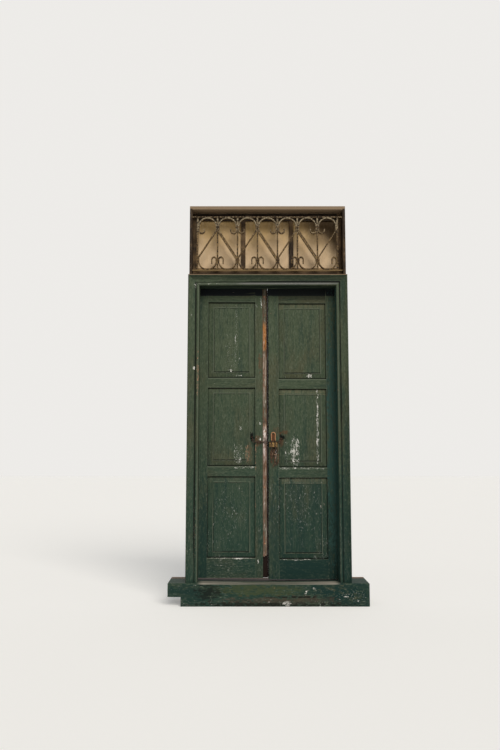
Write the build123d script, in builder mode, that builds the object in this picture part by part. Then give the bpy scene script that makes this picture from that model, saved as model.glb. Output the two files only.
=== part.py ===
from build123d import *

import os
from math import cos, pi, radians, sin, tan

# A double-leaf panelled door in its timber frame, with a light above the head behind a wrought iron grille.
# Millimetres, +Z up, the street side towards -Y. The origin is the middle of the threshold's foot, in the
# plane of the posts' front faces. Left and right are as seen from the street.

os.makedirs("parts", exist_ok=True)

# Door opening and frame
opening_width = 1026.0  # between the posts' stops
opening_height = 2171.0  # from the tread to the soffit of the head
frame_face = 77.0  # width of a post and height of the head
frame_depth = 147.0
rebate_lap = 11.0  # how far a leaf laps behind the post's stop
head_lap = 18.0  # the same behind the head
frame_tenon = 30.0  # length of the posts' tenons
frame_tenon_thick = 30.0
tenon_shoulder = 20.0  # from a post's sides to its tenon
joint_slack = 0.2  # all round a tenon in its mortise

# Threshold
threshold_length = 1436.0
threshold_height = 160.0
threshold_nose = 58.0  # how far it stands in front of the posts
threshold_inner = 85.0  # how far it runs in behind them
notch_length = 93.0
notch_height = 66.0
worn_span = 980.0  # the stretch of tread that feet have hollowed
worn_depth = 6.0
worn_end_radius = 16.0
threshold_arris = 7.0

# Architrave section, across from its inner edge
architrave_width = 83.0
architrave_thick = 28.0
bead_width = 22.0
bead_low = 13.0
bead_high = 20.0
quirk_width = 5.0
quirk_thick = 8.0
hollow_start_thick = 13.0
hollow_end_thick = 25.0
hollow_sag = 4.0
fillet_width = 9.0

# Leaves
leaf_thick = 44.0
leaf_head_gap = 4.0  # between the left leaf's top and the rebate in the head
stop_gap = 0.5  # between a leaf and the stop that it closes on
edge_gap = 2.5  # between a leaf's hanging edge and the rebate
left_foot_gap = 13.0  # from the tread
right_foot_gap = 4.0  # the right leaf has dropped
left_hanging_stile = 71.0
left_meeting_stile = 56.0
right_hanging_stile = 79.0
right_meeting_stile = 80.0
meeting_gap = 11.0  # from the strip on the left leaf to the right leaf, in front
swing_play = 0.6  # between the leaves' corners as one swings past the other
gap_centre = -2.0
bottom_rail = 142.0
lower_rail = 74.0
upper_rail = 73.0
top_rail = 116.0
lower_panel_height = 595.0
middle_panel_height = 589.0
rail_tenon = 30.0
rail_tenon_thick = 14.0
rail_tenon_shoulder = 16.0
groove_depth = 10.0
groove_width = 9.0

# Fielded panels
panel_slack = 0.3  # between a panel's tongue and the groove's walls
tongue_play = 1.0  # between the tongue's edge and the groove's bottom
field_sink = 6.0  # from the leaf's face back to the field
field_step = 3.0
bevel_width = 41.0
bevel_edge = 0.4  # thickness of the bevel where it meets the tongue

# Meeting strip, nailed into a rebate along the left leaf's edge and rotted short at its foot
strip_width = 30.0
strip_rebate = 22.0  # depth of the rebate from the leaf's face
strip_proud = 1.5
strip_foot = 150.0  # above the leaf's foot
strip_rot = 22.0
strip_head_gap = 3.0  # below the soffit, because the strip stands proud of the leaf

# Butt hinges, hidden on the inner side
hinge_height = 100.0
hinge_leaf_width = 34.0
hinge_thick = 2.5
knuckle_radius = 6.0
knuckle_gap = 0.4  # between the frame plate's knuckle and the leaf plate's, which sits on it
knuckle_stand = 0.8  # between the knuckles and the leaf's back
pin_radius = 3.0
pin_slack = 0.08
hinge_low = 200.0  # from the tread to the middle of the lowest hinge
hinge_high = 240.0  # from the soffit down to the middle of the highest one

# Fixing holes through the posts, behind the leaves
fixing_radius = 5.0
fixing_spacing = 650.0
fixing_drop = 140.0  # from the middle hinge down to the middle fixing

# Light above the head
lining_thick = 19.0
light_height = 517.0
top_board = 25.0
housing = 6.0  # depth of the grooves that take the linings' ends
sash_stile = 34.0
sash_top_rail = 56.0
sash_bottom_rail = 85.0
mullion_width = 34.0
sash_thick = 38.0
sash_reveal = 8.0  # from the sash's back to the back of the frame
sash_tenon = 14.0
sash_tenon_thick = 8.0
sash_tenon_shoulder = 6.0
glass_rebate = 10.0
glass_thick = 4.0
glass_set_back = 14.0
glass_play = 1.0
bead_thick = 9.0

# Wrought iron grille
grille_set_back = 32.0  # from the posts' faces to the middle of the bars
flat_depth = 20.0  # the flat bar's width, front to back
flat_thick = 6.0
rail_thick = 8.0
rail_let_in = 10.0  # length of rail in the lining
bar_side = 12.0
bar_count = 8
bar_end_gap = 39.0  # from a lining to the middle of the outermost bar
bar_tenon = 7.0  # side of the square tenon at each end of a bar, riveted over in its rail
tenon_slack = 0.1
lower_rail_rise = 45.0  # from the head's top to the grille's lower rail
upper_rail_drop = 48.0  # from the top lining down to its upper rail
scroll_straight = 30.0  # straight sides of a scroll's big loops
upper_hook_radius = 22.0
lower_hook_radius = 17.0
upper_hook_turn = 205.0
lower_hook_drop = 20.0
bend_radius = 20.0
twin_spacing = 9.0
collar_thick = 3.0
collar_height = 12.0

# Chain, padlock and the holes that they hang in
link_wire = 4.5
link_length = 32.0
link_width = 17.0
link_slack = 0.5
chain_stand = 11.0  # from the leaves' face out to the middle of the chain
chain_rise = 1004.0  # from the tread to the chain's level run
chain_part = 3.0  # from the middle of the opening to each half's last link
left_climbs = (0.0, 0.0, 0.0, 5.0, 50.0, 70.0)  # each link's slope, from the middle out to the hole
right_climbs = (0.0, 20.0, 65.0)
hole_radius = 9.5
left_mouth = (21.0, 36.0)  # the chain has worn the street end of each hole wide
right_mouth = (26.0, 26.0)
mouth_depth = 11.0  # from the panel's field
mouth_shift = 4.0  # from the hole's middle up to its mouth's
lock_width = 58.0
lock_height = 34.0
lock_thick = 20.0
lock_edge = 4.0
lock_drop = 5.0  # from the chain's level to the lock's top
shackle_wire = 7.0
shackle_sides = 12
shackle_pitch = 28.5
shackle_rise = 80.0  # from the lock's top to the top of the shackle
shackle_slack = 0.1
link_seat = 0.3  # between a link and what it hangs on
long_leg = 22.0
short_leg = 9.0
keyway_radius = 5.5
keyway_depth = 1.5
tail_links = (7, 8)  # in the spare ends that hang on the left and the right leg

# Places worked out from the sizes above
tread = threshold_height
soffit = tread + opening_height
head_top = soffit + frame_face
light_top = head_top + light_height
jamb = opening_width / 2
rebate_wall = jamb + rebate_lap
outer = jamb + frame_face
stop_y = frame_depth - leaf_thick - stop_gap
leaf_front = stop_y + stop_gap
leaf_back = leaf_front + leaf_thick
leaf_middle = (leaf_front + leaf_back) / 2
leaf_height = opening_height + head_lap - leaf_head_gap - left_foot_gap
hanging_edge = rebate_wall - edge_gap
upper_panel_height = (
    leaf_height - bottom_rail - lower_panel_height - lower_rail - middle_panel_height - upper_rail - top_rail
)
lining_inner = outer - lining_thick
link_reach = link_length - link_wire  # between the middles of a link's two bows
link_hook = link_wire + link_slack  # between the bows of two hooked links
chain_y = leaf_front - chain_stand
chain_level = tread + chain_rise
hinge_top = opening_height - hinge_high
hinge_levels = (hinge_low, (hinge_low + hinge_top) / 2, hinge_top)  # above the tread
fixing_middle = hinge_levels[1] - fixing_drop
pin_x = (hanging_edge + rebate_wall) / 2
pin_y = leaf_back + knuckle_radius + knuckle_stand


def facing(y):
    """The upright drawing plane at depth y, with X to the right and Z up."""
    return Plane(origin=(0, y, 0), x_dir=(1, 0, 0), z_dir=(0, -1, 0))


def block(low, high, mode=Mode.ADD):
    """A squared block of the open part, from its low corner to its high corner."""
    with Locations(tuple((a + b) / 2 for a, b in zip(low, high))):
        Box(*(b - a for a, b in zip(low, high)), mode=mode)


def ordered(a, b):
    return (min(a, b), max(a, b))


def keep(piece, name):
    """Labels a finished piece and writes its STEP file."""
    piece.part.label = name
    export_step(piece.part, f"parts/{name}.step")


# Threshold beam, with the tread worn hollow and a notch at its left end

with BuildPart() as threshold:
    with BuildSketch(facing(-threshold_nose)):
        with BuildLine():
            Polyline(
                (worn_span / 2, tread),
                (threshold_length / 2, tread),
                (threshold_length / 2, 0),
                (notch_length - threshold_length / 2, 0),
                (notch_length - threshold_length / 2, notch_height),
                (-threshold_length / 2, notch_height),
                (-threshold_length / 2, tread),
                (-worn_span / 2, tread),
            )
            ThreePointArc((-worn_span / 2, tread), (0, tread - worn_depth), (worn_span / 2, tread))
        make_face()
    extrude(amount=-(threshold_nose + frame_depth + threshold_inner))
    right_arris = threshold.edges().filter_by(Axis.Z).group_by(Axis.X)[-1].sort_by(Axis.Y)[0]
    fillet(right_arris, radius=worn_end_radius)
    nose_edges = threshold.faces().sort_by(Axis.Y)[0].edges()
    fillet(nose_edges.filter_by(lambda edge: edge.bounding_box().min.Z > tread - 2 * worn_depth), threshold_arris)
    for side in (-1, 1):
        low_x, high_x = ordered(side * (jamb + tenon_shoulder), side * (outer - tenon_shoulder))
        block(
            (low_x - joint_slack, stop_y / 2 - frame_tenon_thick / 2 - joint_slack, tread - frame_tenon - joint_slack),
            (high_x + joint_slack, stop_y / 2 + frame_tenon_thick / 2 + joint_slack, tread + threshold_arris),
            Mode.SUBTRACT,
        )
keep(threshold, "threshold_beam")


# Posts, rebated at the back for the leaves

def post_tenons(side, slack, bottom, top):
    low_x, high_x = ordered(side * (jamb + tenon_shoulder), side * (outer - tenon_shoulder))
    half = frame_tenon_thick / 2 + slack
    return (low_x - slack, stop_y / 2 - half, bottom), (high_x + slack, stop_y / 2 + half, top)


def hinge_recess(side, level, inner_x, outer_x):
    """Cuts the shallow housing for one hinge plate."""
    low_x, high_x = ordered(side * inner_x, side * outer_x)
    low = (low_x, pin_y - hinge_leaf_width, tread + level - hinge_height / 2)
    high = (high_x, pin_y + knuckle_radius, tread + level + hinge_height / 2)
    block(low, high, Mode.SUBTRACT)


for side, name in ((-1, "left_post"), (1, "right_post")):
    with BuildPart() as post:
        with BuildSketch(Plane.XY.offset(tread)):
            with BuildLine():
                Polyline(
                    (side * jamb, 0),
                    (side * outer, 0),
                    (side * outer, frame_depth),
                    (side * rebate_wall, frame_depth),
                    (side * rebate_wall, stop_y),
                    (side * jamb, stop_y),
                    close=True,
                )
            make_face()
        extrude(amount=opening_height)
        block(*post_tenons(side, 0, tread - frame_tenon, soffit + frame_tenon))
        for level in hinge_levels:
            hinge_recess(side, level, rebate_wall, rebate_wall + hinge_thick)
        with Locations(*(
            Location((side * outer, (stop_y + frame_depth) / 2, tread + fixing_middle + row * fixing_spacing), (0, 90, 0))
            for row in (-1, 0, 1)
        )):
            Cylinder(fixing_radius, 2 * frame_face, mode=Mode.SUBTRACT)
    keep(post, name)


# Head of the door frame, which also carries the light above it

with BuildPart() as head:
    block((-outer, 0, soffit), (outer, frame_depth, head_top))
    block((-rebate_wall, stop_y, soffit), (rebate_wall, frame_depth, soffit + head_lap), Mode.SUBTRACT)
    for side in (-1, 1):
        top = soffit + frame_tenon + joint_slack
        block(*post_tenons(side, joint_slack, soffit, top), Mode.SUBTRACT)
        low_x, high_x = ordered(side * lining_inner, side * outer)
        block((low_x, 0, head_top - housing), (high_x, frame_depth, head_top), Mode.SUBTRACT)
keep(head, "door_head")


# Architrave, planted on the posts and the head and mitred at its corners

def architrave_section():
    """The moulding's outline: x runs out from the opening, y is its thickness."""
    quirk_end = bead_width + quirk_width
    hollow_end = architrave_width - fillet_width
    hollow_middle = (hollow_start_thick + hollow_end_thick) / 2 - hollow_sag
    with BuildSketch() as section:
        with BuildLine():
            Line((0, 0), (0, bead_low))
            ThreePointArc((0, bead_low), (bead_width / 2, bead_high), (bead_width, bead_low))
            Polyline(
                (bead_width, bead_low),
                (bead_width, quirk_thick),
                (quirk_end, quirk_thick),
                (quirk_end, hollow_start_thick),
            )
            ThreePointArc(
                (quirk_end, hollow_start_thick),
                ((quirk_end + hollow_end) / 2, hollow_middle),
                (hollow_end, hollow_end_thick),
            )
            Polyline(
                (hollow_end, hollow_end_thick),
                (hollow_end, architrave_thick),
                (architrave_width, architrave_thick),
                (architrave_width, 0),
                (0, 0),
            )
        make_face()
    return section.sketch_local


architrave_outline = architrave_section()


def mitre(side, way):
    """The mitre plane at one upper corner, facing the piece that is kept."""
    return Plane(origin=(side * jamb, 0, soffit), z_dir=(way * side, 0, -way))


for side, name in ((-1, "left_architrave"), (1, "right_architrave")):
    with BuildPart() as architrave:
        with BuildSketch(Plane(origin=(side * jamb, 0, tread), x_dir=(side, 0, 0), z_dir=(0, 0, -side))):
            add(architrave_outline)
        extrude(amount=opening_height + architrave_width, dir=(0, 0, 1))
        split(bisect_by=mitre(side, 1), keep=Keep.TOP)
    keep(architrave, name)

with BuildPart() as head_architrave:
    with BuildSketch(Plane(origin=(-jamb - architrave_width, 0, soffit), x_dir=(0, 0, 1), z_dir=(1, 0, 0))):
        add(architrave_outline)
    extrude(amount=opening_width + 2 * architrave_width)
    for side in (-1, 1):
        split(bisect_by=mitre(side, -1), keep=Keep.TOP)
keep(head_architrave, "head_architrave")


# Leaves: stiles, rails with tenons, and fielded panels held in grooves

def rows(foot):
    """The rails of a leaf from its foot up, as (name, bottom, top)."""
    lower = foot + bottom_rail + lower_panel_height
    upper = lower + lower_rail + middle_panel_height
    top = upper + upper_rail + upper_panel_height
    return (
        ("bottom_rail", foot, foot + bottom_rail),
        ("lower_rail", lower, lower + lower_rail),
        ("upper_rail", upper, upper + upper_rail),
        ("top_rail", top, top + top_rail),
    )


def tenon_box(x_near, x_far, bottom, top, slack):
    """A rail's tenon, or with slack the mortise for it."""
    low_x, high_x = ordered(x_near, x_far)
    half = rail_tenon_thick / 2 + slack
    shoulder = rail_tenon_shoulder - slack
    return (low_x, leaf_middle - half, bottom + shoulder), (high_x, leaf_middle + half, top - shoulder)


def groove(low_x, high_x, low_z, high_z):
    half = groove_width / 2
    block((low_x, leaf_middle - half, low_z), (high_x, leaf_middle + half, high_z), Mode.SUBTRACT)


def make_leaf(prefix, side, foot, meeting_edge, hanging_width, meeting_width, hole, mouth, mouth_size):
    """Builds and writes one leaf's stiles, rails and panels; meeting_edge is its plan from front to back."""
    hanging_plan = ((side * hanging_edge, leaf_front), (side * hanging_edge, leaf_back))
    hanging_inner = side * (hanging_edge - hanging_width)
    meeting_inner = meeting_edge[0][0] + side * meeting_width
    rails = rows(foot)
    inner_low, inner_high = ordered(hanging_inner, meeting_inner)
    stiles = (("hanging_stile", hanging_plan, hanging_inner), ("meeting_stile", meeting_edge, meeting_inner))
    for name, edge, near in stiles:
        way = 1 if near < edge[0][0] else -1
        with BuildPart() as stile:
            with BuildSketch(Plane.XY.offset(foot)):
                with BuildLine():
                    Polyline((near, leaf_back), (near, leaf_front), *edge, close=True)
                make_face()
            extrude(amount=leaf_height)
            low_groove, high_groove = ordered(near, near + way * groove_depth)
            groove(low_groove, high_groove, foot + bottom_rail - groove_depth, rails[3][1] + groove_depth)
            for _, bottom, top in rails:
                reach = near + way * (rail_tenon + joint_slack)
                block(*tenon_box(near, reach, bottom, top, joint_slack), Mode.SUBTRACT)
            if name == "hanging_stile":
                for level in hinge_levels:
                    hinge_recess(side, level, hanging_edge - hinge_thick, hanging_edge)
        keep(stile, f"{prefix}_{name}")
    for name, bottom, top in rails:
        with BuildPart() as rail:
            block((inner_low, leaf_front, bottom), (inner_high, leaf_back, top))
            if name != "bottom_rail":
                groove(inner_low, inner_high, bottom, bottom + groove_depth)
            if name != "top_rail":
                groove(inner_low, inner_high, top - groove_depth, top)
            block(*tenon_box(inner_low - rail_tenon, inner_low, bottom, top, 0))
            block(*tenon_box(inner_high, inner_high + rail_tenon, bottom, top, 0))
        keep(rail, f"{prefix}_{name}")
    tongue_front = leaf_middle - groove_width / 2 + panel_slack
    tongue_back = leaf_middle + groove_width / 2 - panel_slack
    field_front = leaf_front + field_sink
    bevel_front = field_front + field_step
    reach = groove_depth - tongue_play
    for name, low, high in (
        ("lower_panel", rails[0][2], rails[1][1]),
        ("middle_panel", rails[1][2], rails[2][1]),
        ("upper_panel", rails[2][2], rails[3][1]),
    ):
        with BuildPart() as panel:
            block(
                (inner_low + panel_slack, bevel_front, low + panel_slack),
                (inner_high - panel_slack, tongue_front, high - panel_slack),
            )
            front = panel.faces().sort_by(Axis.Y)[0]
            chamfer(
                front.edges(),
                length=bevel_width - panel_slack,
                length2=tongue_front - bevel_front - bevel_edge,
                reference=front,
            )
            block((inner_low - reach, tongue_front, low - reach), (inner_high + reach, tongue_back, high + reach))
            block(
                (inner_low + bevel_width, field_front, low + bevel_width),
                (inner_high - bevel_width, bevel_front, high - bevel_width),
            )
            if name == "middle_panel":
                with BuildSketch(facing(field_front)):
                    with Locations(mouth):
                        SlotOverall(
                            max(mouth_size), min(mouth_size), rotation=90 if mouth_size[1] > mouth_size[0] else 0
                        )
                extrude(amount=-mouth_depth, mode=Mode.SUBTRACT)
                with BuildSketch(facing(field_front)):
                    with Locations(hole):
                        Circle(hole_radius)
                extrude(amount=field_front - leaf_back, mode=Mode.SUBTRACT)
        keep(panel, f"{prefix}_{name}")


def hang(start, steps):
    """Places hooked links one after another: gives each one's first bow and the last one's far bow."""
    bows = []
    bow = Vector(*start)
    for number, (along, across) in enumerate(steps):
        if number:
            last_along, last_across = steps[number - 1]
            seat = last_across.cross(across).normalized()
            bow -= seat * (link_hook if seat.dot(last_along) > 0 else -link_hook)
        bows.append(bow)
        bow += along * link_reach
    return bows, bow


def climbing(side, climbs, flat):
    """Steps of a chain that runs out from the middle; every other link lies flat to the leaf."""
    steps = []
    for climb in climbs:
        along = Vector(side * cos(radians(climb)), 0, sin(radians(climb)))
        steps.append((along, along.cross(Vector(0, 1, 0)) if flat else Vector(0, 1, 0)))
        flat = not flat
    return steps


def chain_through(start, side, climbs, flat):
    """A chain that climbs to a leaf's hole and hangs behind: its steps, its bows, the hole and its worn mouth."""
    steps = climbing(side, climbs, flat)
    uphill = steps[-1][0]
    inwards = Vector(0, 1, 0)
    level = uphill.cross(inwards)
    steps += [(inwards, level), (inwards, uphill), (-uphill, level)]
    bows, _ = hang(start, steps)
    hole = bows[len(climbs)]
    mouth = hole + uphill * mouth_shift
    return steps, bows, (hole.X, hole.Z), (mouth.X, mouth.Z)


def bulge(width, depth):
    """How far a corner of a leaf swings out past its closed edge; width and depth are from the hinge pin."""
    return (width**2 + depth**2) ** 0.5 - width


strip_edge = gap_centre - meeting_gap / 2  # the strip's side of the gap between the leaves
left_free_edge = strip_edge - strip_width
right_free_edge = strip_edge + meeting_gap
rebate_front = leaf_front + strip_rebate
# The right leaf's edge is planed back towards the street, and the left leaf's tongue comes close up to it
right_tail_edge = right_free_edge - bulge(pin_x - right_free_edge, pin_y - leaf_front) - swing_play / 2
left_tongue_edge = right_tail_edge - bulge(pin_x + right_tail_edge, pin_y - rebate_front) - swing_play
left_meeting_edge = (
    (left_free_edge, leaf_front),
    (left_free_edge, rebate_front),
    (left_tongue_edge, rebate_front),
    (left_tongue_edge, leaf_back),
)
right_meeting_edge = ((right_free_edge, leaf_front), (right_tail_edge, leaf_back))
left_foot = tread + left_foot_gap
right_foot = tread + right_foot_gap
leg_radius = shackle_wire / 2
bow_to_leg = leg_radius + link_seat + link_wire / 2  # from a shackle leg's middle to a link's bow round it
left_leg_x = chain_part + link_wire / 2 + link_reach - bow_to_leg
right_leg_x = left_leg_x + shackle_pitch
left_start = (-chain_part - link_wire / 2, chain_y, chain_level)
right_start = (right_leg_x - bow_to_leg, chain_y, chain_level)
left_steps, left_bows, left_hole, left_worn = chain_through(left_start, -1, left_climbs, True)
right_steps, right_bows, right_hole, right_worn = chain_through(right_start, 1, right_climbs, False)
left_widths = (left_hanging_stile, left_meeting_stile)
right_widths = (right_hanging_stile, right_meeting_stile)
make_leaf("left", -1, left_foot, left_meeting_edge, *left_widths, left_hole, left_worn, left_mouth)
make_leaf("right", 1, right_foot, right_meeting_edge, *right_widths, right_hole, right_worn, right_mouth)

with BuildPart() as strip:
    with BuildSketch(facing(leaf_front - strip_proud)):
        foot = left_foot + strip_foot
        with BuildLine():
            Polyline(
                (left_free_edge, foot + strip_rot / 3),
                (left_free_edge + strip_width * 0.3, foot),
                (left_free_edge + strip_width * 0.55, foot + strip_rot / 2),
                (left_free_edge + strip_width * 0.8, foot + strip_rot * 0.4),
                (strip_edge, foot + strip_rot),
                (strip_edge, soffit - strip_head_gap),
                (left_free_edge, soffit - strip_head_gap),
                close=True,
            )
        make_face()
    extrude(amount=-(strip_rebate + strip_proud))
keep(strip, "meeting_strip")


# Butt hinges that lift apart: the leaf plate's knuckle sits on the frame plate's, on one pin

knuckle = (hinge_height - knuckle_gap) / 2


def hinge_plates(side, plate_x, knuckle_low):
    """The three plates on one side of a leaf's hinges; knuckle_low is from the plate's foot to its knuckle."""
    low_x, high_x = ordered(side * plate_x, side * (plate_x + hinge_thick))
    for level in hinge_levels:
        bottom = tread + level - hinge_height / 2
        block((low_x, pin_y - hinge_leaf_width, bottom), (high_x, pin_y - knuckle_radius, bottom + hinge_height))
        low = bottom + knuckle_low
        block((low_x, pin_y - knuckle_radius, low), (high_x, pin_y, low + knuckle))
        with Locations((side * pin_x, pin_y, low + knuckle / 2)):
            Cylinder(knuckle_radius, knuckle)
            Cylinder(pin_radius + pin_slack, knuckle, mode=Mode.SUBTRACT)


with BuildPart() as frame_plates:
    for side in (-1, 1):
        hinge_plates(side, rebate_wall, 0)
keep(frame_plates, "hinge_frame_plates")

for side, name in ((-1, "left_hinge_plates"), (1, "right_hinge_plates")):
    with BuildPart() as leaf_plates:
        hinge_plates(side, hanging_edge - hinge_thick, hinge_height - knuckle)
    keep(leaf_plates, name)

with BuildPart() as pins:
    with Locations(*((side * pin_x, pin_y, tread + level) for side in (-1, 1) for level in hinge_levels)):
        Cylinder(pin_radius, hinge_height)
keep(pins, "hinge_pins")


# Linings of the light, let into the head and the top board

grille_y = grille_set_back
grille_front = grille_y - flat_depth / 2
grille_back = grille_y + flat_depth / 2
lower_rail_z = head_top + lower_rail_rise
upper_rail_z = light_top - upper_rail_drop - rail_thick

for side, name in ((-1, "left_lining"), (1, "right_lining")):
    low_x, high_x = ordered(side * lining_inner, side * outer)
    low_socket, high_socket = ordered(side * lining_inner, side * (lining_inner + rail_let_in + joint_slack))
    with BuildPart() as lining:
        block((low_x, 0, head_top - housing), (high_x, frame_depth, light_top + housing))
        for level in (lower_rail_z, upper_rail_z):
            block(
                (low_socket, grille_front - joint_slack, level - joint_slack),
                (high_socket, grille_back + joint_slack, level + rail_thick + joint_slack),
                Mode.SUBTRACT,
            )
    keep(lining, name)

with BuildPart() as top_lining:
    block((-outer, 0, light_top), (outer, frame_depth, light_top + top_board))
    for side in (-1, 1):
        low_x, high_x = ordered(side * lining_inner, side * outer)
        block((low_x, 0, light_top), (high_x, frame_depth, light_top + housing), Mode.SUBTRACT)
keep(top_lining, "top_lining")


# Fixed sash with three panes

sash_back = frame_depth - sash_reveal
sash_front = sash_back - sash_thick
sash_middle = (sash_front + sash_back) / 2
pane_bottom = head_top + sash_bottom_rail
pane_top = light_top - sash_top_rail
pane_left = sash_stile - lining_inner
light_width = (-2 * pane_left - 2 * mullion_width) / 3
glass_front = sash_front + glass_set_back
glass_back = glass_front + glass_thick
pane_starts = tuple(pane_left + number * (light_width + mullion_width) for number in range(3))


def sash_tenon_box(low, high, slack=0.0):
    """A sash tenon's box: low and high are (x, z) corners, and slack makes it a mortise."""
    half = sash_tenon_thick / 2 + slack
    return (low[0], sash_middle - half, low[1]), (high[0], sash_middle + half, high[1])


def glass_seats():
    """Cuts the rebate of each pane out of the open part."""
    for start in pane_starts:
        block(
            (start - glass_rebate, glass_front, pane_bottom - glass_rebate),
            (start + light_width + glass_rebate, sash_back, pane_top + glass_rebate),
            Mode.SUBTRACT,
        )


for side, name in ((-1, "sash_left_stile"), (1, "sash_right_stile")):
    low_x, high_x = ordered(side * lining_inner, side * (lining_inner - sash_stile))
    inner = side * (lining_inner - sash_stile)
    with BuildPart() as sash_side:
        block((low_x, sash_front, head_top), (high_x, sash_back, light_top))
        glass_seats()
        for bottom, top in ((head_top, pane_bottom - glass_rebate), (pane_top + glass_rebate, light_top)):
            reach = inner + side * (sash_tenon + joint_slack)
            mortise_low, mortise_high = ordered(inner, reach)
            shoulder = sash_tenon_shoulder - joint_slack
            block(
                *sash_tenon_box((mortise_low, bottom + shoulder), (mortise_high, top - shoulder), joint_slack),
                Mode.SUBTRACT,
            )
    keep(sash_side, name)

for name, bottom, top, seat in (
    ("sash_bottom_rail", head_top, pane_bottom, pane_bottom),
    ("sash_top_rail", pane_top, light_top, pane_top),
):
    with BuildPart() as sash_rail:
        block((pane_left, sash_front, bottom), (-pane_left, sash_back, top))
        glass_seats()
        low, high = (bottom, top - glass_rebate) if seat == top else (bottom + glass_rebate, top)
        for end in (-1, 1):
            low_x, high_x = ordered(-end * pane_left, -end * pane_left + end * sash_tenon)
            block(*sash_tenon_box((low_x, low + sash_tenon_shoulder), (high_x, high - sash_tenon_shoulder)))
        into = -1 if seat == top else 1
        for start in pane_starts[1:]:
            low_z, high_z = ordered(seat, seat + into * (glass_rebate + sash_tenon + joint_slack))
            block(
                *sash_tenon_box(
                    (start - mullion_width + glass_rebate - joint_slack, low_z),
                    (start - glass_rebate + joint_slack, high_z),
                    joint_slack,
                ),
                Mode.SUBTRACT,
            )
    keep(sash_rail, name)

for start, name in zip(pane_starts[1:], ("left_mullion", "right_mullion")):
    with BuildPart() as mullion:
        block((start - mullion_width, sash_front, pane_bottom), (start, sash_back, pane_top))
        glass_seats()
        reach = glass_rebate + sash_tenon
        block(
            *sash_tenon_box(
                (start - mullion_width + glass_rebate, pane_bottom - reach),
                (start - glass_rebate, pane_top + reach),
            )
        )
    keep(mullion, name)

for start, name in zip(pane_starts, ("left_pane", "middle_pane", "right_pane")):
    over = glass_rebate - glass_play
    with BuildPart() as pane:
        block(
            (start - over, glass_front, pane_bottom - over),
            (start + light_width + over, glass_back, pane_top + over),
        )
    keep(pane, name)

with BuildPart() as glazing_beads:
    for start in pane_starts:
        low_x = start - glass_rebate
        high_x = start + light_width + glass_rebate
        low_z = pane_bottom - glass_rebate
        high_z = pane_top + glass_rebate
        back = glass_back + bead_thick
        block((low_x, glass_back, low_z), (high_x, back, low_z + bead_thick))
        block((low_x, glass_back, high_z - bead_thick), (high_x, back, high_z))
        for x in (low_x, high_x - bead_thick):
            low = (x, glass_back, low_z + bead_thick + joint_slack)
            block(low, (x + bead_thick, back, high_z - bead_thick - joint_slack))
keep(glazing_beads, "glazing_beads")


# Grille: rails let into the linings, upright bars riveted to them, and an S scroll in each bay

bar_pitch = 2 * (lining_inner - bar_end_gap) / (bar_count - 1)
bar_xs = tuple((number - (bar_count - 1) / 2) * bar_pitch for number in range(bar_count))
bay_half = (bar_pitch - bar_side) / 2  # clear half-width of a bay
loop_radius = bay_half - flat_thick / 2
loop_low = lower_rail_z + rail_thick + bay_half
loop_high = upper_rail_z - bay_half

for name, level in (("grille_bottom_rail", lower_rail_z), ("grille_top_rail", upper_rail_z)):
    with BuildPart() as grille_rail:
        reach = lining_inner + rail_let_in
        block((-reach, grille_front, level), (reach, grille_back, level + rail_thick))
        with Locations(*((x, grille_y, level + rail_thick / 2) for x in bar_xs)):
            Box(bar_tenon + 2 * tenon_slack, bar_tenon + 2 * tenon_slack, 2 * rail_thick, mode=Mode.SUBTRACT)
    keep(grille_rail, name)

with BuildPart() as bars:
    for x in bar_xs:
        half = bar_side / 2
        block((x - half, grille_y - half, lower_rail_z + rail_thick), (x + half, grille_y + half, upper_rail_z))
        with Locations((x, grille_y, (lower_rail_z + upper_rail_z + rail_thick) / 2)):
            Box(bar_tenon, bar_tenon, upper_rail_z - lower_rail_z + rail_thick)
keep(bars, "grille_bars")


def scroll_line(middle, hand):
    """The middle line of one S scroll; hand is 1 where its upper hook is on the right."""

    def at(x, z):
        return (middle + hand * x, z)

    upper_hook_z = loop_high - scroll_straight
    hook_x = loop_radius - upper_hook_radius
    turn = radians(upper_hook_turn)
    tip = (hook_x + upper_hook_radius * cos(turn), upper_hook_z - upper_hook_radius * sin(turn))
    lower_hook_z = loop_low + collar_height
    lower_hook_x = lower_hook_radius - loop_radius
    hook_end = lower_hook_x + lower_hook_radius
    with BuildLine() as line:
        ThreePointArc(at(*tip), at(hook_x, upper_hook_z - upper_hook_radius), at(loop_radius, upper_hook_z))
        Line(at(loop_radius, upper_hook_z), at(loop_radius, loop_high))
        ThreePointArc(at(loop_radius, loop_high), at(0, loop_high + loop_radius), at(-loop_radius, loop_high))
        FilletPolyline(
            at(-loop_radius, loop_high),
            at(-loop_radius, loop_high - scroll_straight),
            at(loop_radius, loop_low + scroll_straight),
            at(loop_radius, loop_low),
            radius=bend_radius,
        )
        ThreePointArc(at(loop_radius, loop_low), at(0, loop_low - loop_radius), at(-loop_radius, loop_low))
        Line(at(-loop_radius, loop_low), at(-loop_radius, lower_hook_z))
        ThreePointArc(
            at(-loop_radius, lower_hook_z),
            at(lower_hook_x, lower_hook_z + lower_hook_radius),
            at(hook_end, lower_hook_z),
        )
        Line(at(hook_end, lower_hook_z), at(hook_end, loop_low - lower_hook_drop))
    return line.line


bays = tuple((left + right) / 2 for left, right in zip(bar_xs, bar_xs[1:]))
for name, places, hand in (("grille_scrolls_left_hand", bays[0::2], -1), ("grille_scrolls_right_hand", bays[1::2], 1)):
    with BuildPart() as scrolls:
        for middle in places:
            with BuildSketch(facing(grille_front)):
                trace(scroll_line(middle, hand), line_width=flat_thick)
            extrude(amount=-flat_depth)
    keep(scrolls, name)

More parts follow.
